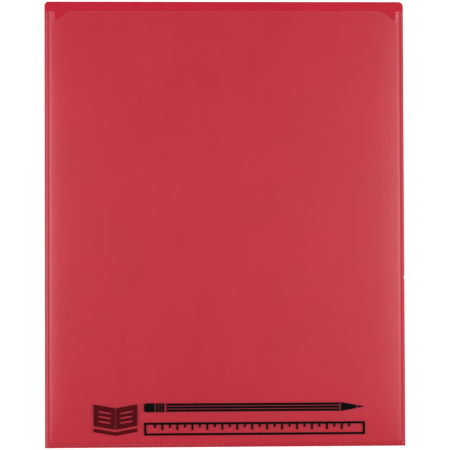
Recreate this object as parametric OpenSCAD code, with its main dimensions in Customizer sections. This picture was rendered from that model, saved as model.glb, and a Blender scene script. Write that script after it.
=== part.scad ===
// School two-pocket folder in polypropylene sheet, closed and lying on its back cover.
// +X runs from the spine to the free edge, +Y up the page, +Z from the back cover to the front.
// The origin is the middle of the footprint, on the surface that the folder lies on.
// All sizes are in millimetres.

/* [Covers] */
// Width of the closed folder, from the spine's outer face to the free edge
cover_w = 241; // [225:1:260]
// Height of the folder, from the bottom fold to the top edge
cover_h = 298.5; // [285:0.5:320]
// Thickness of the coloured sheet
sheet_t = 0.6; // [0.4:0.1:0.8]
// Height of the spine: outer face of the back cover to outer face of the front cover
closed_t = 4; // [3.6:0.1:8]
// Radius of the four corners at the free edge
corner_r = 3; // [1:0.5:8]
// Radius of the covers' top corners beside the spine, where the creases end
spine_corner_r = 1.5; // [0.5:0.1:3]

/* [Inside pockets] */
// Height of the two inside pockets above the bottom fold
pocket_h = 113; // [90:1:140]
// Space between a pocket flap and its cover
pocket_gap = 0.4; // [0.2:0.1:0.6]
// Distance from the spine to a flap's inner edge at the fold
flap_inset_low = 3; // [2:0.5:8]
// Distance from the spine to a flap's inner edge at the pocket's mouth
flap_inset_high = 12; // [8:1:40]
// Radius of the small notch in the free edge at the pocket's mouth
notch_r = 0.8; // [0.4:0.1:1.5]

/* [Overlay pocket] */
// Thickness of the clear film
film_t = 0.15; // [0.1:0.05:0.3]
// Space between the film and the front cover
film_gap = 0.25; // [0.15:0.05:0.5]
// Bare strip of cover above the film
film_drop = 6.7; // [3:0.1:15]
// Width of the sealed strip beside the thumb cut on the spine side
tab_w_spine = 6.6; // [4:0.1:10]
// Width of the sealed strip beside the thumb cut on the free side
tab_w_free = 5.2; // [4:0.1:10]
// Depth of the two thumb cuts
thumb_cut_d = 7.4; // [3:0.1:12]
// Width of the two thumb cuts along the mouth
thumb_cut_w = 10; // [5:0.5:20]

/* [Welds] */
// Distance between two weld spots
weld_pitch = 2.03; // [1.5:0.01:4]
// Radius of a weld spot
weld_r = 0.5; // [0.3:0.05:0.8]
// Distance from the outer face of the spine to the weld row beside it
weld_in_spine = 2.35; // [1.6:0.05:4]
// Distance from the free edge to the weld rows along it
weld_in_free = 1.95; // [1.6:0.05:4]
// Distance from the bottom fold to the weld row above it
weld_in_bottom = 1.8; // [1.6:0.1:4]
// Length of the bars that the overlay's bottom seam is fused with, across the seam
weld_bar_l = 1.9; // [1:0.1:2.4]

/* [Print] */
// Distance from the spine to the left side of the book picture
print_in = 32.4; // [20:0.1:40]
// Height of the bottom of the print above the bottom fold
print_up = 8.1; // [6:0.1:20]
// Length of the pencil and the ruler
print_len = 147.7; // [120:0.1:150]

/* [Hidden] */

// Outline of the closed folder
x_spine = -cover_w / 2;
x_free = cover_w / 2;
y_bottom = -cover_h / 2;
y_top = cover_h / 2;

// Creases: each is a round bead as thick as the sheet, and lies on its hinge's axis
crease_r = sheet_t / 2;
crease_clear = 0.05; // between a bead and the cover that turns around it
spine_bite = crease_r / 3; // how far the spine's edges reach past the beads' crowns
x_crease = x_spine + crease_r;
cover_x0 = x_crease + crease_r + crease_clear;
crease_h = cover_h - spine_corner_r;

// Pocket folds: a half tube around the pocket's bottom
fold_r = sheet_t + pocket_gap / 2;
y_fold = y_bottom + fold_r;
y_pocket = y_bottom + pocket_h;
flap_corner_r = 5;

// Overlay film
film_in_spine = 0.9;
film_in_free = 0.4;
film_in_bottom = 0.6;
film_x0 = x_spine + film_in_spine;
film_x1 = x_free - film_in_free;
film_y0 = y_bottom + film_in_bottom;
film_y1 = y_top - film_drop;
tab_r = 0.5; // rounding of the sealed strips' ends
mouth_r = 2; // rounding where a thumb cut meets the film's top edge

// Weld rows
weld_x0 = x_spine + weld_in_spine;
weld_x1 = x_free - weld_in_free;
weld_y0 = y_bottom + weld_in_bottom;
weld_end = 1.2; // from the end of a seam to its last spot

// Print: a layer of ink on the film
ink_t = 0.03;
ink_gap = 0.9; // unprinted lines within a picture
book_w = 29;
book_h = 21;
print_space = 4.6; // between the book and the two long pictures
pencil_d = 6;
pencil_up = 18.6; // the pencil's axis above the bottom of the print
ruler_h = 8.7;

arc_steps = 10;
past = 1; // how far a cutting shape runs past what it cuts

// ---- outlines ----

function unit(v) = v / norm(v);
function turned(v, a) = [v.x * cos(a) - v.y * sin(a), v.x * sin(a) + v.y * cos(a)];

// The arc of radius r that rounds corner p between its neighbours a and b
function corner_arc(a, p, b, r) =
  let (
    u = unit(a - p),
    v = unit(b - p),
    half = acos(u * v) / 2,
    centre = p + unit(u + v) * r / sin(half),
    start = p + u * r / tan(half) - centre,
    sweep = sign(cross(p - a, b - p)) * (180 - 2 * half)
  )
  [for (i = [0:arc_steps]) centre + turned(start, sweep * i / arc_steps)];

// A list of [x, y, radius] corners as the points of an outline
function outline(corners) =
  let (n = len(corners), at = [for (c = corners) [c.x, c.y]])
  [
    for (i = [0:n - 1])
      each corners[i][2] > 0
        ? corner_arc(at[(i + n - 1) % n], at[i], at[(i + 1) % n], corners[i][2])
        : [at[i]]
  ];

// A closed cover's outline, down to the bottom fold's outer face
module page_outline(x0)
  polygon(outline([
    [x0, y_bottom, 0], [x_free, y_bottom, corner_r],
    [x_free, y_top, corner_r], [x0, y_top, spine_corner_r]
  ]));

// The small notch that all layers share at the pocket's mouth
module edge_notch()
  translate([x_free + notch_r / 4, y_pocket])
    circle(r = notch_r, $fn = 12);

// ---- the coloured sheet ----

// A flat cover: the page, stepped back where the pocket's fold replaces its bottom edge
module cover_panel(z)
  translate([0, 0, z])
    linear_extrude(sheet_t)
      difference() {
        page_outline(cover_x0);
        translate([x_spine + flap_inset_low, y_bottom - fold_r])
          square([cover_w, 2 * fold_r]);
        edge_notch();
      }

// The flat part of a pocket flap, with its inner edge sloping away from the spine
module pocket_panel(z)
  translate([0, 0, z])
    linear_extrude(sheet_t)
      difference() {
        intersection() {
          page_outline(cover_x0);
          polygon(outline([
            [x_spine + flap_inset_low, y_fold, 0], [x_free + past, y_fold, 0],
            [x_free + past, y_pocket, 0], [x_spine + flap_inset_high, y_pocket, flap_corner_r]
          ]));
        }
        edge_notch();
      }

// The half tube that joins a cover to its flap along the bottom, around height z
module pocket_fold(z)
  intersection() {
    translate([x_spine + flap_inset_low, y_fold, z])
      rotate([0, 90, 0])
        difference() {
          cylinder(h = cover_w, r = fold_r, $fn = 48);
          translate([0, 0, -past]) cylinder(h = cover_w + 2 * past, r = pocket_gap / 2, $fn = 48);
        }
    translate([0, 0, z - fold_r])
      linear_extrude(2 * fold_r)
        intersection() {
          page_outline(x_spine);
          translate([x_spine, y_bottom]) square([cover_w, fold_r]);
        }
  }

module spine_panel()
  difference() {
    translate([x_spine, y_bottom, 2 * crease_r - spine_bite])
      cube([sheet_t, crease_h, closed_t - 4 * crease_r + 2 * spine_bite]);
    crease_bead(crease_r);
    crease_bead(closed_t - crease_r);
  }

module crease_bead(z)
  translate([x_crease, y_bottom, z])
    rotate([-90, 0, 0])
      cylinder(h = crease_h, r = crease_r, $fn = 48);

// ---- welds ----

// A row of fused spots of height h, from one end of a seam to the other: round ones, or
// bars of length bar_l across the seam
module weld_row(from, to, z, h, bar_l = 0) {
  length = norm(to - from) - 2 * weld_end;
  count = floor(length / weld_pitch);
  way = unit(to - from);
  for (i = [0:count])
    translate(concat(from + way * (weld_end + length * i / count), z))
      if (bar_l > 0)
        rotate([0, 0, atan2(way[1], way[0])])
          translate([-weld_r, -bar_l / 2, 0])
            cube([2 * weld_r, bar_l, h]);
      else
        cylinder(h = h, r = weld_r, $fn = 24);
}

module pocket_weld_row(z)
  weld_row([weld_x1, weld_y0 - weld_end], [weld_x1, y_pocket], z, pocket_gap);

module overlay_weld_row(from, to, bar_l = 0)
  weld_row(from, to, closed_t, film_gap, bar_l);

// ---- the clear film ----

module film_outline()
  polygon(outline([
    [film_x0, film_y0, 0],
    [film_x1, film_y0, corner_r - film_in_free],
    [film_x1, film_y1, tab_r],
    [x_free - tab_w_free, film_y1, tab_r],
    [x_free - tab_w_free, film_y1 - thumb_cut_d, tab_r],
    [x_free - tab_w_free - thumb_cut_w, film_y1, mouth_r],
    [x_spine + tab_w_spine + thumb_cut_w, film_y1, mouth_r],
    [x_spine + tab_w_spine, film_y1 - thumb_cut_d, tab_r],
    [x_spine + tab_w_spine, film_y1, tab_r],
    [film_x0, film_y1, tab_r]
  ]));

// ---- print ----

// One layer of ink on the film, measured from the lower left of the print
module ink()
  translate([x_spine + print_in, y_bottom + print_up, closed_t + film_gap + film_t])
    linear_extrude(ink_t)
      children();

// The right half of an open book, with its gutter on the Y axis
module book_half() {
  half_w = book_w / 2;
  slope = 0.18;
  board_t = 2.4;
  page_low = 4;
  page_h = book_h - page_low - slope * half_w;
  line_in = 3; // a line of writing, from the gutter and from the page's outer side
  line_pitch = 3.2;
  line_t = 1.2;
  // An upright band from x0 to x1 whose lower side rises away from the gutter
  module slanted(x0, x1, y, h)
    polygon([for (c = [[x0, y], [x1, y], [x1, y + h], [x0, y + h]]) [c.x, c.y + slope * c.x]]);
  slanted(0, half_w, 0, board_t);
  difference() {
    slanted(ink_gap / 2, half_w, page_low, page_h);
    for (line = [1:3])
      slanted(line_in, half_w - line_in, page_low + line * line_pitch, line_t);
  }
}

module pencil_picture() {
  r = pencil_d / 2;
  eraser = 7;
  ferrule = 6;
  cone = 17;
  lead = 5;
  barrel_end = print_len - cone;
  // Eraser
  polygon(outline([[0, -r, r / 2], [eraser, -r, 0], [eraser, r, 0], [0, r, r / 2]]));
  // Ferrule, with two pressed rings
  for (ring = [0:2])
    translate([eraser + ink_gap + ring * ferrule / 3, -r])
      square([ferrule / 3 - ink_gap / 2, pencil_d]);
  // Barrel, as three long faces
  for (face = [-1:1])
    translate([eraser + 2 * ink_gap + ferrule, face * pencil_d / 3 - pencil_d / 6 + ink_gap / 4])
      square([barrel_end - eraser - 2 * ink_gap - ferrule, pencil_d / 3 - ink_gap / 2]);
  // Sharpened end, with the lead apart
  difference() {
    polygon([[barrel_end + ink_gap, -r], [print_len, 0], [barrel_end + ink_gap, r]]);
    translate([print_len - lead - ink_gap, -r]) square([ink_gap, pencil_d]);
  }
}

module ruler_picture() {
  stroke = 1.5;
  tick_pitch = 5;
  tick_w = 1.3;
  tick_len = [5.2, 3.6]; // every second mark is a long one
  ticks = floor((print_len - 2 * tick_pitch) / tick_pitch);
  difference() {
    square([print_len, ruler_h]);
    translate([stroke, stroke]) square([print_len - 2 * stroke, ruler_h - 2 * stroke]);
  }
  for (i = [1:ticks])
    translate([i * tick_pitch + stroke, ruler_h - tick_len[i % 2]])
      square([tick_w, tick_len[i % 2] - stroke / 2]);
}

// ---- nodes ----

module back_cover() color("#c02438") cover_panel(0);
module rear_pocket_panel() color("#c02438") pocket_panel(sheet_t + pocket_gap);
module rear_pocket_fold() color("#c02438") pocket_fold(fold_r);
module rear_pocket_welds() color("#8e1426") pocket_weld_row(sheet_t);

module spine() color("#b82236") spine_panel();
module rear_crease() color("#a51c30") crease_bead(crease_r);
module front_crease() color("#a51c30") crease_bead(closed_t - crease_r);

module front_cover() color("#c02438") cover_panel(closed_t - sheet_t);
module front_pocket_panel() color("#c02438") pocket_panel(closed_t - 2 * sheet_t - pocket_gap);
module front_pocket_fold() color("#c02438") pocket_fold(closed_t - fold_r);
module front_pocket_welds() color("#8e1426") pocket_weld_row(closed_t - sheet_t - pocket_gap);

module overlay_film()
  color("#d8707c", 0.5)
    translate([0, 0, closed_t + film_gap])
      linear_extrude(film_t)
        film_outline();

module overlay_spine_welds()
  color("#8e1426") overlay_weld_row([weld_x0, weld_y0], [weld_x0, film_y1]);

module overlay_edge_welds()
  color("#8e1426") overlay_weld_row([weld_x1, weld_y0], [weld_x1, film_y1]);

module overlay_bottom_welds()
  color("#8e1426") overlay_weld_row([weld_x0, weld_y0], [weld_x1, weld_y0], weld_bar_l);

module printed_book()
  color("#520a10")
    ink()
      translate([book_w / 2, 0]) {
        book_half();
        mirror([1, 0]) book_half();
      }

module printed_pencil()
  color("black") ink() translate([book_w + print_space, pencil_up]) pencil_picture();

module printed_ruler()
  color("black") ink() translate([book_w + print_space, 0]) ruler_picture();

back_cover();
rear_pocket_panel();
rear_pocket_fold();
rear_pocket_welds();
spine();
rear_crease();
front_crease();
front_cover();
front_pocket_panel();
front_pocket_fold();
front_pocket_welds();
overlay_film();
overlay_spine_welds();
overlay_edge_welds();
overlay_bottom_welds();
printed_book();
printed_pencil();
printed_ruler();
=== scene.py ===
"""Looks for a red polypropylene two-pocket folder with a clear welded pocket on its front.

Every piece is built in millimetres in the part's own frame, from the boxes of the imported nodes, and
stored in metres.
+X runs from the spine to the free edge, +Y up the page, +Z from the back cover to the front.
"""

import math

import bpy
import numpy as np
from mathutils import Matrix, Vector
from mathutils.geometry import delaunay_2d_cdt


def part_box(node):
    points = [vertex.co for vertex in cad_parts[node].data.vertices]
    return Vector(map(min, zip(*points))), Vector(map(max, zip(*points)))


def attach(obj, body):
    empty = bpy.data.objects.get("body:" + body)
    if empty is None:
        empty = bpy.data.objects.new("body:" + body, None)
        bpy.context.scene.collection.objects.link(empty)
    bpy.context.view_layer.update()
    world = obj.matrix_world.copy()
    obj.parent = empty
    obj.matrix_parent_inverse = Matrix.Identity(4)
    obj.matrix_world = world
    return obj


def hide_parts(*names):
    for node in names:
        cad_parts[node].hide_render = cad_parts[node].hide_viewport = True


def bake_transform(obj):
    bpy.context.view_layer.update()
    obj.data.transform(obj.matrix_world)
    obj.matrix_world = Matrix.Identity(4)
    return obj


MM = 0.001
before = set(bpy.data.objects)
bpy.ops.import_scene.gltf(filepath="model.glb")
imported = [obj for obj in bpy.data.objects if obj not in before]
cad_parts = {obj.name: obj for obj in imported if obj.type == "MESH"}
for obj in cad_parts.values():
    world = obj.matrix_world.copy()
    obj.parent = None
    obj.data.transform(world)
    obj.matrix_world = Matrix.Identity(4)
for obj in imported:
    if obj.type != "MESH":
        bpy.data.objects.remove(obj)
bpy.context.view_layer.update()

# ---------------------------------------------------------------- sizes, in millimetres


def box_mm(node):
    """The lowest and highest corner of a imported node, in millimetres."""
    return tuple(np.array(corner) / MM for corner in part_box(node))


COVER_LO, COVER_HI = box_mm("front_cover")
BACK_LO, BACK_HI = box_mm("back_cover")
SPINE_LO, SPINE_HI = box_mm("spine")
FILM_LO, FILM_HI = box_mm("overlay_film")
FLAP_LO, FLAP_HI = box_mm("front_pocket_panel")
REAR_FLAP_LO, REAR_FLAP_HI = box_mm("rear_pocket_panel")
FOLD_LO, FOLD_HI = box_mm("front_pocket_fold")
CREASE_LO, CREASE_HI = box_mm("front_crease")

SHEET_T = COVER_HI[2] - COVER_LO[2]
FILM_T = FILM_HI[2] - FILM_LO[2]
CLOSED_T = COVER_HI[2]
X_SPINE, X_FREE = SPINE_LO[0], COVER_HI[0]
Y_BOTTOM, Y_TOP = COVER_LO[1], COVER_HI[1]
FOLD_R = FOLD_HI[1] - FOLD_LO[1]
Y_FOLD = FOLD_HI[1]
X_FLAP = FOLD_LO[0]
Y_POCKET = FLAP_HI[1]
X_CREASE = (CREASE_LO[0] + CREASE_HI[0]) / 2
CREASE_R = (CREASE_HI[0] - CREASE_LO[0]) / 2

CORNER_R = 3.0
NOTCH_R = 0.8
NOTCH_OUT = 0.2  # the notch's centre lies this far outside the edge
FLAP_LEAN = 9.0  # the flap's inner edge moves this far from the spine, from the fold to the mouth
FLAP_CORNER_R = 5.0
TAB_W_SPINE, TAB_W_FREE = 6.6, 5.2
CUT_W, CUT_D = 10.0, 7.4
TAB_R, MOUTH_R = 0.5, 2.0
WELD_R = 0.5
WELD_PITCH = 2.03
EDGE_R = 0.12  # rounding of the sheet's cut edges

# ---------------------------------------------------------------- outlines


def outline(corners, turn_step=12):
    """The points of a closed outline. A corner is (x, y) or (x, y, radius)."""
    at = [np.array(c[:2], float) for c in corners]
    points = []
    for i, corner in enumerate(corners):
        radius = corner[2] if len(corner) > 2 else 0
        if radius == 0:
            points.append(at[i])
            continue
        u = at[i - 1] - at[i]
        v = at[(i + 1) % len(at)] - at[i]
        u /= np.linalg.norm(u)
        v /= np.linalg.norm(v)
        half = math.acos(float(u @ v)) / 2
        middle = (u + v) / np.linalg.norm(u + v)
        centre = at[i] + middle * radius / math.sin(half)
        first = at[i] + u * radius / math.tan(half) - centre
        turn = math.copysign(math.pi - 2 * half, -(u[0] * v[1] - u[1] * v[0]))
        steps = max(2, math.ceil(abs(math.degrees(turn)) / turn_step))
        for k in range(steps + 1):
            a = turn * k / steps
            spin = np.array([[math.cos(a), -math.sin(a)], [math.sin(a), math.cos(a)]])
            points.append(centre + spin @ first)
    return np.array(points)


def resampled(loop, step):
    """The loop with its long sides cut into stretches of at most step."""
    points = []
    for a, b in zip(loop, np.roll(loop, -1, axis=0)):
        count = max(1, math.ceil(float(np.linalg.norm(b - a)) / step))
        points += [a + (b - a) * k / count for k in range(count)]
    return np.array(points)


def outward(loop):
    """The outward direction at each point of an anticlockwise loop."""
    side = np.roll(loop, -1, axis=0) - loop
    side /= np.linalg.norm(side, axis=1)[:, None]
    normal = np.stack([side[:, 1], -side[:, 0]], 1)
    mean = normal + np.roll(normal, 1, axis=0)
    return mean * (2 / (mean**2).sum(1))[:, None]


def lies_inside(points, loops):
    """Which points lie inside the loops, where a loop within another one is a hole."""
    within = np.zeros(len(points), bool)
    for loop in loops:
        for a, b in zip(loop, np.roll(loop, -1, axis=0)):
            if a[1] != b[1]:
                crosses = (a[1] > points[:, 1]) != (b[1] > points[:, 1])
                x = a[0] + (b[0] - a[0]) * (points[:, 1] - a[1]) / (b[1] - a[1])
                within ^= crosses & (points[:, 0] < x)
    return within


def gap_to(points, a, b):
    """The distance from each point to the stretch from a to b."""
    d = b - a
    t = np.clip((points - a) @ d / (d @ d), 0, 1)
    return np.linalg.norm(points - a - t[:, None] * d, axis=1)


def keep_inside(points, loop, margin):
    """The points that lie inside the loop, at least margin from it."""
    points = points[lies_inside(points, [loop])]
    near = np.full(len(points), np.inf)
    for a, b in zip(loop, np.roll(loop, -1, axis=0)):
        near = np.minimum(near, gap_to(points, a, b))
    return points[near > margin]


def triangulated(points, edges, loops, accuracy):
    """Triangles over the points that keep the edges and fill the loops.

    Gives the points, the triangles, and for each point the numbers of the ones that it was made from.
    """
    vectors = [Vector(p) for p in points]
    flat, _, faces, origin, _, _ = delaunay_2d_cdt(vectors, edges, [], 0, accuracy, True)
    xy = np.array([tuple(p) for p in flat])
    faces = [tuple(f) for f in faces]
    centres = np.array([xy[list(f)].mean(0) for f in faces])
    filled = lies_inside(centres, loops)
    return xy, [f for f, use in zip(faces, filled) if use], origin


def edge_notch():
    """The points of the small notch in the free edge, from bottom to top."""
    half = math.acos(NOTCH_OUT / NOTCH_R)
    return [
        (X_FREE + NOTCH_OUT + NOTCH_R * math.cos(a), Y_POCKET + NOTCH_R * math.sin(a))
        for a in np.linspace(math.pi + half, math.pi - half, 9)
    ]


# ---------------------------------------------------------------- weld rows


def weld_row(node, axis):
    """The centres of a node's weld spots, in a row along axis 0 or 1."""
    lo, hi = box_mm(node)
    first, last = lo[axis] + WELD_R, hi[axis] - WELD_R
    along = np.linspace(first, last, int((last - first) / WELD_PITCH + 1e-6) + 1)
    across = np.full(len(along), (lo[1 - axis] + hi[1 - axis]) / 2)
    return np.stack([along, across] if axis == 0 else [across, along], 1)


SPINE_ROW = weld_row("overlay_spine_welds", 1)
EDGE_ROW = weld_row("overlay_edge_welds", 1)
BOTTOM_ROW = weld_row("overlay_bottom_welds", 0)
FRONT_FLAP_ROW = weld_row("front_pocket_welds", 1)
REAR_FLAP_ROW = weld_row("rear_pocket_welds", 1)
OVERLAY_ROWS = (SPINE_ROW, EDGE_ROW, BOTTOM_ROW)
X_SEAM_L, X_SEAM_R, Y_SEAM = SPINE_ROW[0, 0], EDGE_ROW[0, 0], BOTTOM_ROW[0, 1]
BOTTOM_WELDS_LO, BOTTOM_WELDS_HI = box_mm("overlay_bottom_welds")
# The bottom seam's welds are bars, which reach this much further across the seam than a round spot
BAR_REACH = (BOTTOM_WELDS_HI[1] - BOTTOM_WELDS_LO[1]) / 2 - WELD_R


def spot_press(x, y, rows, reach):
    """How far each point is pressed down by the nearest weld spot, from 0 to 1."""
    press = np.zeros_like(x)
    for row in rows:
        axis = int(abs(row[1, 1] - row[0, 1]) > abs(row[1, 0] - row[0, 0]))
        pitch = row[1, axis] - row[0, axis]
        along, across = (y, x) if axis else (x, y)
        index = np.clip(np.round((along - row[0, axis]) / pitch), 0, len(row) - 1)
        aside = np.abs(across - row[0, 1 - axis])
        if axis == 0:
            aside = np.maximum(aside - BAR_REACH, 0)
        gap = np.hypot(along - row[0, axis] - index * pitch, aside)
        press = np.maximum(press, np.exp(-((gap / reach) ** 2)))
    return press


def seam_points(rows, fine, bands):
    """Lattice points around weld rows: fine ones beside a row, and coarser ones with distance."""
    lo = np.array([X_SPINE, Y_BOTTOM])
    size = np.array([X_FREE, Y_TOP]) - lo
    kept = []
    inner = 0.0
    for level, outer in enumerate(bands):
        step = fine * 2**level
        n = np.floor(size / step).astype(int)
        gx, gy = np.meshgrid(np.arange(n[0] + 1), np.arange(n[1] + 1))
        grid = np.stack([gx.ravel(), gy.ravel()], 1) * step + lo
        near = np.full(len(grid), np.inf)
        for row in rows:
            near = np.minimum(near, gap_to(grid, row[0], row[-1]))
        kept.append(grid[(near >= inner) & (near < outer)])
        inner = outer
    return np.concatenate(kept)


# ---------------------------------------------------------------- surfaces


def smooth_noise(x, y, size, seed):
    """A smooth random height from -1 to 1, with hills about size wide."""
    rng = np.random.default_rng(seed)
    total = np.zeros_like(x)
    for _ in range(7):
        angle = rng.uniform(0, 2 * math.pi)
        wave = 2 * math.pi / (size * rng.uniform(0.8, 1.7))
        phase = rng.uniform(0, 2 * math.pi)
        total += np.sin(wave * (x * math.cos(angle) + y * math.sin(angle)) + phase)
    return total / 7


FILM_REST = FILM_T + 0.01  # the film's top above the cover where it is pressed down
PRESS_REACH = 0.72  # how far a weld spot holds the film down
DENT, DENT_REACH = 0.05, 0.6  # depth and width of the dent that a spot leaves in a sheet
SEAM_LIFT = 0.08  # how far the film rises between two weld spots
LOW_LIFT = 0.18  # the same at the bottom seam, where the film is puckered more
LOW_LIFT_REACH = 4.0
LIFT_REACH = 0.5
SEAM_W = 0.9  # the film starts to bulge this far inside a weld row
LEFT_RISE = ((0.36, 1.6), (0.15, 7.0))  # the bulge's slopes at the spine's side, and their reaches
RIGHT_REACH = 7.0  # how far the bulge takes to level out from the free edge's row
LOW_REACH = 14.0  # the same from the bottom row
RIM_LIFT_L, RIM_LIFT_R = 0.22, 0.04  # the hump of the film's free rims, outside the welds
TAB_CURL_L, TAB_CURL_R = 0.06, 0.2  # slope of the tabs beside the thumb cuts, which are loose inside
MOUTH_REACH = 45.0  # how far below its mouth the film lies closer to the cover
MOUTH_PRESS_L, MOUTH_PRESS_R = 0.55, 0.2  # by what share it does


def levelled(d, reach):
    """A rise from 0 to 1 that levels out over its reach."""
    return 1 - np.exp(-np.maximum(d, 0) / reach)


def film_top(x, y):
    """The height of the film's upper face: pressed down at the welds, and bulging between them."""
    from_left = x - X_SEAM_L
    from_right = X_SEAM_R - x
    from_low = y - Y_SEAM
    rise = sum(slope * reach * levelled(from_left - SEAM_W, reach) for slope, reach in LEFT_RISE)
    across = np.clip(from_left / (X_SEAM_R - X_SEAM_L), 0, 1)
    press = MOUTH_PRESS_L + (MOUTH_PRESS_R - MOUTH_PRESS_L) * across
    mouth = 1 - press * np.exp(-(FILM_HI[1] - y) / MOUTH_REACH)
    wobble = 1 + 0.05 * smooth_noise(x, y, 28, 5)
    bulge = rise * levelled(from_right - SEAM_W, RIGHT_REACH) * levelled(from_low, LOW_REACH)
    bulge = bulge * mouth * wobble
    out = np.maximum(np.maximum(-from_left, -from_right), -from_low)
    rim_u = np.clip(1 - out / (X_SEAM_L - FILM_LO[0]), 0, 1)
    rim_lift = np.where(from_left < from_right, RIM_LIFT_L, RIM_LIFT_R)
    rim = np.where(out > 0, rim_lift * np.sin(math.pi * rim_u**4), 0)
    low_share = np.exp(-np.maximum(from_low, 0) / LOW_LIFT_REACH)
    lift = SEAM_LIFT + (LOW_LIFT - SEAM_LIFT) * low_share
    along_seam = lift * np.exp(-np.maximum(out, 0) / LIFT_REACH)
    at_tab = np.clip((y - FILM_HI[1] + CUT_D + 2) / CUT_D, 0, 1) ** 2
    left_tab = np.where(x < X_SPINE + TAB_W_SPINE + 0.1, from_left, 0)
    right_tab = np.where(x > X_FREE - TAB_W_FREE - 0.1, from_right, 0)
    curl = at_tab * np.maximum(TAB_CURL_L * left_tab + TAB_CURL_R * right_tab, 0)
    free = rim + along_seam + bulge + curl
    return CLOSED_T + FILM_REST + free * (1 - spot_press(x, y, OVERLAY_ROWS, PRESS_REACH))


def cover_wave(x, y, seed):
    """The slight unevenness of a large plastic sheet."""
    return 0.05 * smooth_noise(x, y, 90, seed)


# ---------------------------------------------------------------- mesh builders


SHARP_ANGLE = math.radians(50)  # an edge that turns by more than this keeps its crease


def new_object(name, verts, faces, material_index=None):
    """A mesh object from points in millimetres."""
    mesh = bpy.data.meshes.new(name)
    mesh.from_pydata((np.asarray(verts, float) * MM).tolist(), [], [list(f) for f in faces])
    mesh.update()
    mesh.shade_smooth()
    if material_index is not None:
        mesh.polygons.foreach_set("material_index", np.asarray(material_index, np.int32))
    mesh.set_sharp_from_angle(angle=SHARP_ANGLE)
    obj = bpy.data.objects.new(name, mesh)
    bpy.context.scene.collection.objects.link(obj)
    return obj


def sheet(name, loops, inner, top, bottom, edge_r=EDGE_R, rounded=None, step=2.0, lip=None, zone=None):
    """A closed sheet between the heights top(x, y) and bottom(x, y), inside an outline with holes.

    inner are the points inside it. rounded(x, y) says which points of the outline have a rounded edge.
    lip is the width of a last ring of faces along the edge, and zone(points) the faces' material numbers.
    """
    # Three rings round the edge off, and a fourth one keeps the flat face flat up to them
    rings = [(edge_r * (1 - math.cos(a)), edge_r * (1 - math.sin(a))) for a in np.radians((0, 45, 90))]
    rings.append((lip or 2 * edge_r, 0))
    points, edges, drops, outer_rings = [], [], [], []
    for loop in loops:
        ring = resampled(loop, step)
        away = outward(ring)
        soft = np.ones(len(ring)) if rounded is None else rounded(ring[:, 0], ring[:, 1])
        for k, (inset, drop) in enumerate(rings):
            start = len(points)
            points += list(ring - away * inset)
            drops += list(soft * drop)
            count = len(ring)
            edges += [(start + i, start + (i + 1) % count) for i in range(count)]
            if k == 0:
                outer_rings.append((start, count))
    points += list(inner)
    drops += [0.0] * len(inner)
    xy, faces, origin = triangulated(points, edges, loops, 1e-5)
    drop = np.array([drops[ids[0]] if ids else 0.0 for ids in origin])
    place = {}
    for i, ids in enumerate(origin):
        for k in ids:
            place[k] = i
    n = len(xy)
    high = np.column_stack([xy, top(xy[:, 0], xy[:, 1]) - drop])
    low = np.column_stack([xy, bottom(xy[:, 0], xy[:, 1]) + drop])
    walls = []
    for start, count in outer_rings:
        for i in range(count):
            a, b = place[start + i], place[start + (i + 1) % count]
            if a != b:
                walls.append((a, a + n, b + n, b))
    centres = np.array([xy[list(f)].mean(0) for f in faces])
    zones = [0] * len(faces) if zone is None else list(zone(centres))
    index = zones + zones + [1] * len(walls)
    faces = [tuple(f) for f in faces] + [tuple(i + n for i in reversed(f)) for f in faces] + walls
    return new_object(name, np.concatenate([high, low]), faces, index)


def grid_points(step):
    """A plain lattice over the page."""
    nx = int((X_FREE - X_SPINE) / step)
    ny = int((Y_TOP - Y_BOTTOM) / step)
    gx, gy = np.meshgrid(np.linspace(X_SPINE, X_FREE, nx), np.linspace(Y_BOTTOM, Y_TOP, ny))
    return np.stack([gx.ravel(), gy.ravel()], 1)


# ---------------------------------------------------------------- materials


def material(name, base, roughness, **sockets):
    """A new Principled material, and its shader."""
    mat = bpy.data.materials.new(name)
    mat.use_nodes = True
    shader = mat.node_tree.nodes["Principled BSDF"]
    shader.inputs["Base Color"].default_value = (*base, 1)
    shader.inputs["Roughness"].default_value = roughness
    for socket, value in sockets.items():
        shader.inputs[socket.replace("_", " ")].default_value = value
    return mat, shader


def node(mat, kind, **values):
    """A new node, with the sockets or settings that values name."""
    made = mat.node_tree.nodes.new(kind)
    for key, value in values.items():
        socket = made.inputs.get(key.replace("_", " "))
        if socket is not None:
            socket.default_value = value
        else:
            setattr(made, key, value)
    return made


def link(mat, a, b):
    """Joins an output socket to an input socket."""
    mat.node_tree.links.new(a, b)


def noise(mat, scale, detail=2.0, rough=0.5, stretch=(1, 1, 1)):
    """A noise pattern in the piece's own frame, with scale in waves per metre."""
    coords = node(mat, "ShaderNodeTexCoord")
    mapping = node(mat, "ShaderNodeMapping", Scale=stretch)
    pattern = node(mat, "ShaderNodeTexNoise", Scale=scale, Detail=detail, Roughness=rough)
    link(mat, coords.outputs["Object"], mapping.inputs["Vector"])
    link(mat, mapping.outputs["Vector"], pattern.inputs["Vector"])
    return pattern.outputs["Fac"]


def ramp(mat, fac, low, high, start=0.0, end=1.0):
    """fac from start to end as a number or colour from low to high."""
    colour = not isinstance(low, (int, float))
    if colour:
        made = node(mat, "ShaderNodeMix", data_type="RGBA")
        limits = node(mat, "ShaderNodeMapRange")
        limits.inputs["From Min"].default_value = start
        limits.inputs["From Max"].default_value = end
        link(mat, fac, limits.inputs["Value"])
        link(mat, limits.outputs["Result"], made.inputs[0])
        made.inputs[6].default_value = (*low, 1)
        made.inputs[7].default_value = (*high, 1)
        return made.outputs[2]
    made = node(mat, "ShaderNodeMapRange")
    for socket, value in zip(("From Min", "From Max", "To Min", "To Max"), (start, end, low, high)):
        made.inputs[socket].default_value = value
    link(mat, fac, made.inputs["Value"])
    return made.outputs["Result"]


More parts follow.
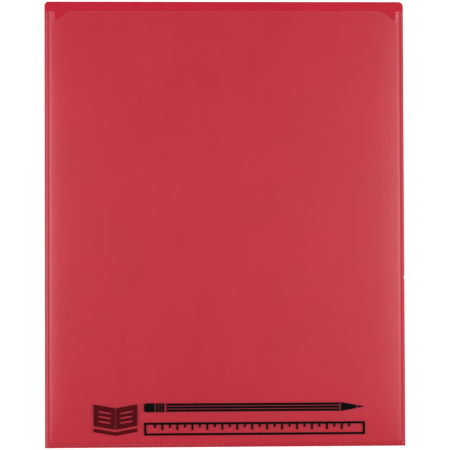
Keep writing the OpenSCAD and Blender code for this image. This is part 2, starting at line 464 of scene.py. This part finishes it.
def bump(mat, height, depth, strength=1.0, under=None):
    """A bump of the given depth in metres, on top of another one."""
    made = node(mat, "ShaderNodeBump", Strength=strength, Distance=depth)
    link(mat, height, made.inputs["Height"])
    if under is not None:
        link(mat, under, made.inputs["Normal"])
    return made.outputs["Normal"]


def red_sheet(name, deep, bright, roughness):
    """Embossed polypropylene: a fine grain, faint flow marks and slight changes of colour and gloss."""
    mat, shader = material(name, deep, roughness, Specular_IOR_Level=0.28)
    cloud = noise(mat, 22, 3, 0.55)
    flow = noise(mat, 160, 3, 0.6, (1, 0.12, 1))
    grain = noise(mat, 2600, 2, 0.6)
    colour = ramp(mat, cloud, deep, bright, 0.3, 0.7)
    link(mat, colour, shader.inputs["Base Color"])
    link(mat, ramp(mat, flow, roughness - 0.06, roughness + 0.06, 0.3, 0.7), shader.inputs["Roughness"])
    base = bump(mat, grain, 0.00006, 0.5)
    link(mat, bump(mat, flow, 0.00012, 0.25, base), shader.inputs["Normal"])
    return mat


def film_material(name, colour, mirrored):
    """Clear polypropylene over a red sheet. Each of its two faces mirrors a small share of the light, tinted
    pink by colour: painted red light in the film's reflections.
    """
    mat, shader = material(name, colour, 0.4, Metallic=1.0, Alpha=mirrored)
    peel = noise(mat, 420, 3, 0.6)
    link(mat, bump(mat, peel, 0.0001, 0.12), shader.inputs["Normal"])
    link(mat, ramp(mat, peel, 0.34, 0.44, 0.3, 0.7), shader.inputs["Roughness"])
    return mat


def film_edge_material():
    """The film's cut edge, given a pale, half-opaque colour: a painted highlight where the edge catches
    light.
    """
    mat, shader = material("clear_film_edge", (0.95, 0.55, 0.58), 0.3, Alpha=0.45)
    link(mat, bump(mat, noise(mat, 3000), 0.00005, 0.4), shader.inputs["Normal"])
    return mat


def weld_material():
    """Fused plastic, darker and less shiny than the sheet."""
    mat, shader = material("fused_spot", (0.38, 0.0006, 0.010), 0.45, Specular_IOR_Level=0.05)
    colour = ramp(mat, noise(mat, 900), (0.34, 0.0005, 0.008), (0.42, 0.0010, 0.013), 0.3, 0.7)
    link(mat, colour, shader.inputs["Base Color"])
    link(mat, bump(mat, noise(mat, 5000), 0.00005, 0.3), shader.inputs["Normal"])
    return mat


def ink_material(name, colour, lighter):
    """Screen-printed ink: nearly even, with a fine mottle and a few thin places."""
    mat, shader = material(name, colour, 0.5, Specular_IOR_Level=0.05)
    mottle = noise(mat, 1400, 3, 0.65)
    link(mat, ramp(mat, mottle, colour, lighter, 0.45, 0.9), shader.inputs["Base Color"])
    link(mat, ramp(mat, mottle, 0.42, 0.58, 0.3, 0.7), shader.inputs["Roughness"])
    link(mat, bump(mat, mottle, 0.00003, 0.4), shader.inputs["Normal"])
    return mat


RED = red_sheet("red_polypropylene", (0.465, 0.0015, 0.019), (0.495, 0.003, 0.024), 0.46)
CREASED = red_sheet("creased_polypropylene", (0.40, 0.006, 0.016), (0.50, 0.016, 0.030), 0.36)
# The films' pinkish colours tint their mirrors: painted red light in their reflections
FILM = film_material("clear_film", (1.0, 0.62, 0.62), 0.0195)
# Films that mirror more light: painted highlights at and beside the seams, partly standing for strained film
FILM_NEAR = film_material("clear_film_beside_seams", (1.0, 0.60, 0.62), 0.030)
FILM_SEAM = film_material("clear_film_at_seams", (1.0, 0.55, 0.57), 0.055)
FILM_EDGE = film_edge_material()
FUSED = weld_material()
MAROON_INK = ink_material("maroon_ink", (0.078, 0.0022, 0.004), (0.098, 0.0035, 0.006))
BLACK_INK = ink_material("black_ink", (0.0012, 0.0010, 0.0012), (0.004, 0.003, 0.0035))


def dress(obj, mats, body, slot, *nodes):
    """Gives a piece its materials and its body, and hides the nodes that it stands for. slot is not used."""
    for mat in mats:
        obj.data.materials.append(mat)
    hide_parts(*nodes)
    if body:
        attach(obj, body)
    return obj


# ---------------------------------------------------------------- the coloured sheet

PAGE = outline(
    [
        (COVER_LO[0], Y_BOTTOM),
        (X_FLAP, Y_BOTTOM),
        (X_FLAP, Y_FOLD),
        (X_FREE, Y_FOLD),
        *edge_notch(),
        (X_FREE, Y_TOP, CORNER_R),
        (COVER_LO[0], Y_TOP, Y_TOP - SPINE_HI[1]),
    ]
)
FINE = 0.34
COVER_POINTS = seam_points(OVERLAY_ROWS, FINE, (1.3, 2.6, 5.0, 10.0))


def free_edge(x, y):
    """1 where a cover's outline is a cut edge, and 0 where it goes on into a crease or a fold."""
    at_crease = x < COVER_LO[0] + EDGE_R / 2
    at_fold = (y < Y_FOLD + EDGE_R / 2) & (x > X_FLAP - EDGE_R)
    return np.where(at_crease | at_fold, 0.0, 1.0)


def cover_points():
    """Points of a cover: close together along the welds, and a plain lattice elsewhere."""
    far = grid_points(5.0)
    inside = (far[:, 0] > X_SEAM_L + 10) & (far[:, 0] < X_SEAM_R - 10) & (far[:, 1] > Y_SEAM + 10)
    return keep_inside(np.concatenate([COVER_POINTS, far[inside]]), PAGE, EDGE_R + 0.1)


def fade(x, y):
    """1 in the middle of the page, falling to 0 at its edges, where sheets meet."""
    near = np.minimum(np.minimum(x - COVER_LO[0], X_FREE - x), np.minimum(y - Y_FOLD, Y_TOP - y))
    return np.clip(near / 12, 0, 1)


def front_top(x, y):
    """The front cover's outer face."""
    dent = DENT * spot_press(x, y, OVERLAY_ROWS, DENT_REACH)
    return CLOSED_T - dent + cover_wave(x, y, 11) * fade(x, y)


def front_bottom(x, y):
    """The front cover's inner face."""
    dent = DENT * spot_press(x, y, OVERLAY_ROWS, DENT_REACH)
    return COVER_LO[2] + dent + cover_wave(x, y, 11) * fade(x, y)


def back_top(x, y):
    """The back cover's inner face."""
    dent = DENT * spot_press(x, y, (REAR_FLAP_ROW,), DENT_REACH)
    return BACK_HI[2] - dent


def back_bottom(x, y):
    """The back cover's outer face."""
    dent = DENT * spot_press(x, y, (REAR_FLAP_ROW,), DENT_REACH)
    return BACK_LO[2] + dent


cover_grid = cover_points()
front_cover = sheet(
    "front_cover_sheet", [PAGE], cover_grid, front_top, front_bottom, rounded=free_edge
)
dress(front_cover, (RED, RED), "front", "red_sheet", "front_cover")

back_grid = np.concatenate(
    [seam_points((REAR_FLAP_ROW,), FINE, (1.3, 2.6, 5.0)), grid_points(5.0)]
)
back_cover = sheet(
    "back_cover_sheet",
    [PAGE],
    keep_inside(back_grid, PAGE, EDGE_R + 0.1),
    back_top,
    back_bottom,
    rounded=free_edge,
)
dress(back_cover, (RED, RED), "back", "red_sheet", "back_cover")

# ---------------------------------------------------------------- pocket flaps and folds

FLAP = outline(
    [
        (X_FLAP, Y_FOLD),
        (X_FREE, Y_FOLD),
        *edge_notch()[:5],
        (X_FREE + NOTCH_OUT - NOTCH_R, Y_POCKET),
        (X_FLAP + FLAP_LEAN, Y_POCKET, FLAP_CORNER_R),
    ]
)


def flap_free(x, y):
    """0 along the fold, and 1 at the flap's cut edges."""
    return np.where(y < Y_FOLD + EDGE_R / 2, 0.0, 1.0)


FLAP_BOW = 0.28  # how far a flap's mouth gapes
FLAP_DENT = 0.06


def flap_bow(x, y):
    """The flap's mouth gapes a little towards the spine, where nothing holds it."""
    up = np.clip((y - Y_FOLD) / (Y_POCKET - Y_FOLD), 0, 1)
    from_weld = np.clip((X_SEAM_R - x) / (X_SEAM_R - X_FLAP), 0, 1)
    return FLAP_BOW * up**1.5 * np.sin(math.pi * from_weld * 0.62)


def flap(name, z_lo, z_hi, way, row):
    """A pocket flap, bowed by way away from its cover."""

    def dent(x, y):
        return FLAP_DENT * spot_press(x, y, (row,), DENT_REACH)

    points = np.concatenate([seam_points((row,), FINE, (1.3, 2.6, 5.0)), grid_points(4.0)])
    return sheet(
        name,
        [FLAP],
        keep_inside(points, FLAP, EDGE_R + 0.1),
        lambda x, y: z_hi + way * flap_bow(x, y) - dent(x, y),
        lambda x, y: z_lo + way * flap_bow(x, y) + dent(x, y),
        rounded=flap_free,
    )


front_flap = flap("front_pocket_flap", FLAP_LO[2], FLAP_HI[2], -1, FRONT_FLAP_ROW)
dress(front_flap, (RED, RED), "front", "red_sheet", "front_pocket_panel")
rear_flap = flap("rear_pocket_flap", REAR_FLAP_LO[2], REAR_FLAP_HI[2], 1, REAR_FLAP_ROW)
dress(rear_flap, (RED, RED), "back", "red_sheet", "rear_pocket_panel")


def pocket_fold(name, z_mid):
    """The half tube of sheet around the bottom of a pocket, slightly rubbed."""
    inner_r = FOLD_R - SHEET_T
    turns = np.radians(np.linspace(90, 270, 15))
    xs = np.linspace(X_FLAP, X_FREE, 121)
    verts, faces = [], []
    for x in xs:
        rub = 0.012 * math.sin(x * 0.9) * math.sin(x * 0.23 + 1)
        for radius in (FOLD_R, inner_r):
            for a in turns:
                r = radius + (rub if radius == FOLD_R else 0) * abs(math.cos(a))
                verts.append((x, Y_FOLD + r * math.cos(a), z_mid + r * math.sin(a)))
    n = len(turns)
    for i in range(len(xs) - 1):
        a, b = i * 2 * n, (i + 1) * 2 * n
        for k in range(n - 1):
            faces.append((a + k, a + k + 1, b + k + 1, b + k))
            faces.append((a + n + k + 1, a + n + k, b + n + k, b + n + k + 1))
        faces.append((a, b, b + n, a + n))
        faces.append((a + n - 1, a + 2 * n - 1, b + 2 * n - 1, b + n - 1))
    for a, flip in ((0, False), ((len(xs) - 1) * 2 * n, True)):
        for k in range(n - 1):
            quad = (a + k, a + n + k, a + n + k + 1, a + k + 1)
            faces.append(tuple(reversed(quad)) if flip else quad)
    return new_object(name, verts, faces)


front_fold = pocket_fold("front_pocket_fold_strip", CLOSED_T - FOLD_R)
dress(front_fold, (RED,), "front", "red_sheet", "front_pocket_fold")
rear_fold = pocket_fold("rear_pocket_fold_strip", FOLD_R)
dress(rear_fold, (RED,), "back", "red_sheet", "rear_pocket_fold")

# ---------------------------------------------------------------- spine and creases

CREASE_END = CREASE_R + 0.05  # from a crease's axis to the sheets on both sides of it
WEB_R = 0.08  # inner face of the thin web at a crease
SPINE_STEPS = 150


def fade_end(y):
    """0 at the spine's two ends, and 1 away from them."""
    return float(np.clip(min(y - Y_BOTTOM, Y_TOP - y) / 10, 0, 1))


def swept(name, section):
    """A closed section in (x, z), swept along the spine."""
    section = np.array(section)
    ys = np.linspace(SPINE_LO[1], SPINE_HI[1], SPINE_STEPS)
    n = len(section)
    verts, faces = [], []
    for i, y in enumerate(ys):
        wave = 0.012 * smooth_noise(section[:, 1] * 3, np.full(n, y), 9, 31)
        verts += [(x + w, y, z) for (x, z), w in zip(section, wave * fade_end(y))]
        if i:
            a, b = (i - 1) * n, i * n
            faces += [(a + k, a + (k + 1) % n, b + (k + 1) % n, b + k) for k in range(n)]
    faces.append(tuple(reversed(range(n))))
    faces.append(tuple(range((len(ys) - 1) * n, len(ys) * n)))
    return new_object(name, verts, faces)


def crease_section(z_axis, side):
    """The thin web around a crease's axis. side is 1 under the front cover and -1 above the back cover."""
    turn = np.radians(np.linspace(180, 90, 9))
    outer = [(-CREASE_R, -CREASE_END)]
    outer += [(CREASE_R * math.cos(a), CREASE_R * math.sin(a)) for a in turn]
    outer += [(CREASE_END, CREASE_R)]
    inner = [(CREASE_END, WEB_R)]
    inner += [(WEB_R * math.cos(a), WEB_R * math.sin(a)) for a in turn[::-2]]
    inner += [(-WEB_R, -CREASE_END)]
    points = [(X_CREASE + x, z_axis + side * z) for x, z in outer + inner]
    return points if side < 0 else points[::-1]


Z_REAR, Z_FRONT = CREASE_R, CLOSED_T - CREASE_R
spine_section = [
    (X_CREASE - CREASE_R, z) for z in np.linspace(Z_FRONT - CREASE_END, Z_REAR + CREASE_END, 9)
]
spine_section += [(X_CREASE + CREASE_R, z) for _, z in reversed(spine_section)]
spine = swept("spine_strip", spine_section)
dress(spine, (RED,), "spine", "red_sheet", "spine")

front_crease = swept("front_crease_web", crease_section(Z_FRONT, 1))
dress(front_crease, (CREASED,), None, "creased_sheet", "front_crease")
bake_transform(front_crease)
rear_crease = swept("rear_crease_web", crease_section(Z_REAR, -1))
dress(rear_crease, (CREASED,), None, "creased_sheet", "rear_crease")
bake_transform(rear_crease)

# ---------------------------------------------------------------- the clear film

FILM_LOOP = outline(
    [
        (FILM_LO[0], FILM_LO[1]),
        (FILM_HI[0], FILM_LO[1], CORNER_R - 0.4),
        (FILM_HI[0], FILM_HI[1], TAB_R),
        (X_FREE - TAB_W_FREE, FILM_HI[1], TAB_R),
        (X_FREE - TAB_W_FREE, FILM_HI[1] - CUT_D, TAB_R),
        (X_FREE - TAB_W_FREE - CUT_W, FILM_HI[1], MOUTH_R),
        (X_SPINE + TAB_W_SPINE + CUT_W, FILM_HI[1], MOUTH_R),
        (X_SPINE + TAB_W_SPINE, FILM_HI[1] - CUT_D, TAB_R),
        (X_SPINE + TAB_W_SPINE, FILM_HI[1], TAB_R),
        (FILM_LO[0], FILM_HI[1], TAB_R),
    ]
)
LIP = 0.45  # width of the bright band along the film's cut edge, which at the mouth is a painted highlight line
STRAINED_HIGHLIT_W = 2.5  # how far from a weld row the film is strained and mirrors more light, a painted highlight


def film_zone(points):
    """The number of the film's material at each point.

    3 is for the seams, the rim on the spine's side and the lip at the mouth, 2 for the film beside the seams
    and the rim at the free edge, and 0 for the rest. Zones 2 and 3 mirror more light and are pinker:
    painted highlights along the seams, rims and mouth; beside the seams they also stand for film strained by
    the welding.
    """
    near = np.min([gap_to(points, row[0], row[-1]) for row in OVERLAY_ROWS], axis=0)
    lip = np.full(len(points), np.inf)
    for a, b in zip(FILM_LOOP, np.roll(FILM_LOOP, -1, axis=0)):
        lip = np.minimum(lip, gap_to(points, a, b))
    x, y = points[:, 0], points[:, 1]
    strained_and_highlit = (near > SEAM_W) & (near < STRAINED_HIGHLIT_W) & (y > Y_SEAM + STRAINED_HIGHLIT_W)
    # Zones 2 and 3 mirror more light than zone 0: painted highlights along the seams, rims and mouth
    zone = np.where((near < 0.45) | strained_and_highlit | (x > X_SEAM_R), 2, 0)
    at_mouth = (lip < LIP) & (y > FILM_HI[1] - CUT_D - LIP)
    on_row = (np.abs(x - X_SEAM_L) < 0.3) | (np.abs(y - Y_SEAM) < BAR_REACH + 0.3)
    return np.where(at_mouth | on_row | (x < X_SEAM_L), 3, zone)


film_points = np.concatenate([COVER_POINTS, grid_points(5.0)])
film = sheet(
    "overlay_pocket_film",
    [FILM_LOOP],
    keep_inside(film_points, FILM_LOOP, LIP + 0.1),
    film_top,
    lambda x, y: film_top(x, y) - FILM_T,
    edge_r=0.05,
    step=1.0,
    lip=LIP,
    zone=film_zone,
)
dress(film, (FILM, FILM_EDGE, FILM_NEAR, FILM_SEAM), "front", "clear_film", "overlay_film")

# ---------------------------------------------------------------- weld spots


def weld_spots(name, row, z_low, z_high, dish=0.03, bar_reach=0):
    """A row of fused spots: short plugs with a raised rim and a dished face, or bars across the seam."""
    sides = 14
    profile = [
        (WELD_R * 0.94, z_low),
        (WELD_R, z_high - 0.04),
        (WELD_R * 0.88, z_high),
        (WELD_R * 0.62, z_high - dish * 0.6),
        (WELD_R * 0.3, z_high - dish),
    ]
    turns = [2 * math.pi * k / sides for k in range(sides)]
    verts, faces = [], []
    for cx, cy in row:
        start = len(verts)
        for r, z in profile:
            for a in turns:
                end = math.copysign(bar_reach, math.sin(a + 0.01))
                verts.append((cx + r * math.cos(a), cy + end + r * math.sin(a), z))
        for ring in range(len(profile) - 1):
            a, b = start + ring * sides, start + (ring + 1) * sides
            faces += [
                (a + k, a + (k + 1) % sides, b + (k + 1) % sides, b + k) for k in range(sides)
            ]
        last = start + (len(profile) - 1) * sides
        faces.append(tuple(range(last, last + sides)))
        faces.append(tuple(reversed(range(start, start + sides))))
    return new_object(name, verts, faces)


SPOT_TOP = CLOSED_T + FILM_REST + 0.055
SPOT_SUNK = 0.1  # how far a spot reaches into a sheet
for node_name, row, reach in (
    ("overlay_spine_welds", SPINE_ROW, 0),
    ("overlay_edge_welds", EDGE_ROW, 0),
    ("overlay_bottom_welds", BOTTOM_ROW, BAR_REACH),
):
    spots = weld_spots(node_name + "_fused", row, CLOSED_T - SPOT_SUNK, SPOT_TOP, bar_reach=reach)
    dress(spots, (FUSED,), "front", "welded_plastic", node_name)
front_spots = weld_spots(
    "front_pocket_welds_fused",
    FRONT_FLAP_ROW,
    FLAP_HI[2] - SPOT_SUNK,
    COVER_LO[2] + SPOT_SUNK,
    dish=0,
)
dress(front_spots, (FUSED,), "front", "welded_plastic", "front_pocket_welds")
rear_spots = weld_spots(
    "rear_pocket_welds_fused",
    REAR_FLAP_ROW,
    BACK_HI[2] - SPOT_SUNK,
    REAR_FLAP_LO[2] + SPOT_SUNK,
    dish=0,
)
dress(rear_spots, (FUSED,), "back", "welded_plastic", "rear_pocket_welds")

# ---------------------------------------------------------------- print

INK_OFF, INK_T = 0.02, 0.03  # the ink's gap above the film, and its thickness


def top_loops(node_name):
    """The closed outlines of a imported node's upper faces, in millimetres."""
    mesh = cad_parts[node_name].data
    co = np.array([v.co for v in mesh.vertices]) / MM
    ids = {}
    weld = [ids.setdefault(tuple(np.round(c[:2], 3)), len(ids)) for c in co]
    xy = np.array(list(ids))
    high = co[:, 2].max() - 1e-3
    ahead = {}
    used = set()
    for face in mesh.polygons:
        if all(co[v, 2] > high for v in face.vertices):
            corners = [weld[v] for v in face.vertices]
            used.update(zip(corners, corners[1:] + corners[:1]))
    for a, b in used:
        if (b, a) not in used:
            ahead[a] = b
    loops = []
    while ahead:
        start, at = ahead.popitem()
        loop = [start]
        while at != start:
            loop.append(at)
            at = ahead.pop(at)
        loops.append(xy[loop])
    return loops


def draped_ink(name, node_name):
    """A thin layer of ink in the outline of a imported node, laid on the film."""
    points, edges = [], []
    loops = top_loops(node_name)
    for loop in loops:
        ring = resampled(loop, 2.5)
        start = len(points)
        points += list(ring)
        edges += [(start + i, start + (i + 1) % len(ring)) for i in range(len(ring))]
    xy, faces, _ = triangulated(points, edges, loops, 1e-4)
    n = len(xy)
    z = film_top(xy[:, 0], xy[:, 1]) + INK_OFF
    verts = np.concatenate([np.column_stack([xy, z + INK_T]), np.column_stack([xy, z])])
    sides = {}
    for f in faces:
        for a, b in zip(f, list(f[1:]) + [f[0]]):
            sides[(a, b)] = True
    walls = [(a, a + n, b + n, b) for a, b in sides if (b, a) not in sides]
    faces = [tuple(f) for f in faces] + [tuple(i + n for i in reversed(f)) for f in faces] + walls
    return new_object(name, verts, faces)


for node_name, mat, slot in (
    ("printed_book", MAROON_INK, "maroon_ink"),
    ("printed_pencil", BLACK_INK, "black_ink"),
    ("printed_ruler", BLACK_INK, "black_ink"),
):
    dress(draped_ink(node_name + "_ink", node_name), (mat,), "front", slot, node_name)

# ---------------------------------------------------------------- floor, light and camera


def floor():
    """A pale floor just below the part that glows a little, as a lit white sweep does."""
    half = 3.0
    mesh = bpy.data.meshes.new("floor")
    mesh.from_pydata(
        [(-half, -half, 0), (half, -half, 0), (half, half, 0), (-half, half, 0)], [], [(0, 1, 2, 3)]
    )
    obj = bpy.data.objects.new("floor", mesh)
    bpy.context.scene.collection.objects.link(obj)
    mat, shader = material("pale_floor", (0.9, 0.9, 0.9), 0.8, Emission_Strength=0.45)
    shader.inputs["Emission Color"].default_value = (1, 1, 1, 1)
    shader.inputs["Specular IOR Level"].default_value = 0.1
    mesh.materials.append(mat)
    obj.location.z = -0.0001


def softbox(name, at, aim, width, length, radiance):
    """A rectangular light at a point, turned to another, with its own brightness."""
    data = bpy.data.lights.new(name, "AREA")
    data.shape = "RECTANGLE"
    data.size, data.size_y = width, length
    data.energy = radiance * math.pi * width * length
    obj = bpy.data.objects.new(name, data)
    bpy.context.scene.collection.objects.link(obj)
    obj.location = at
    obj.rotation_euler = (Vector(aim) - Vector(at)).to_track_quat("-Z", "Y").to_euler()


def studio_world(overhead, around):
    """A plain white room whose ceiling is dimmer than its walls."""
    made = bpy.data.worlds.new("studio")
    made.use_nodes = True
    background = made.node_tree.nodes["Background"]
    background.inputs["Color"].default_value = (1, 1, 1, 1)
    coords = node(made, "ShaderNodeTexCoord")
    split = node(made, "ShaderNodeSeparateXYZ")
    link(made, coords.outputs["Generated"], split.inputs["Vector"])
    strength = ramp(made, split.outputs["Z"], around, overhead, 0.5, 1.0)
    link(made, strength, background.inputs["Strength"])
    bpy.context.scene.world = made


SOFTBOX_W, SOFTBOX_L = 0.48, 1.4
RIGHT_RADIANCE, LEFT_RADIANCE = 6.4, 5.8
floor()
softbox("softbox_right", (0.99, 0.05, 1.14), (0.05, 0.02, 0), SOFTBOX_W, SOFTBOX_L, RIGHT_RADIANCE)
softbox("softbox_left", (-0.99, 0.05, 1.14), (-0.05, 0.02, 0), SOFTBOX_W, SOFTBOX_L, LEFT_RADIANCE)
studio_world(overhead=0.14, around=0.5)

LENS = 135.0
CAMERA_AT = (-0.0380, -0.0247, 1.1339)
CAMERA_TURN = (1.218, -1.920, -0.208)
camera_data = bpy.data.cameras.new("camera")
camera_data.lens = LENS
camera = bpy.data.objects.new("camera", camera_data)
bpy.context.scene.collection.objects.link(camera)
camera.location = CAMERA_AT
camera.rotation_euler = [math.radians(a) for a in CAMERA_TURN]
bpy.context.scene.camera = camera
bpy.context.scene.view_settings.view_transform = "Standard"
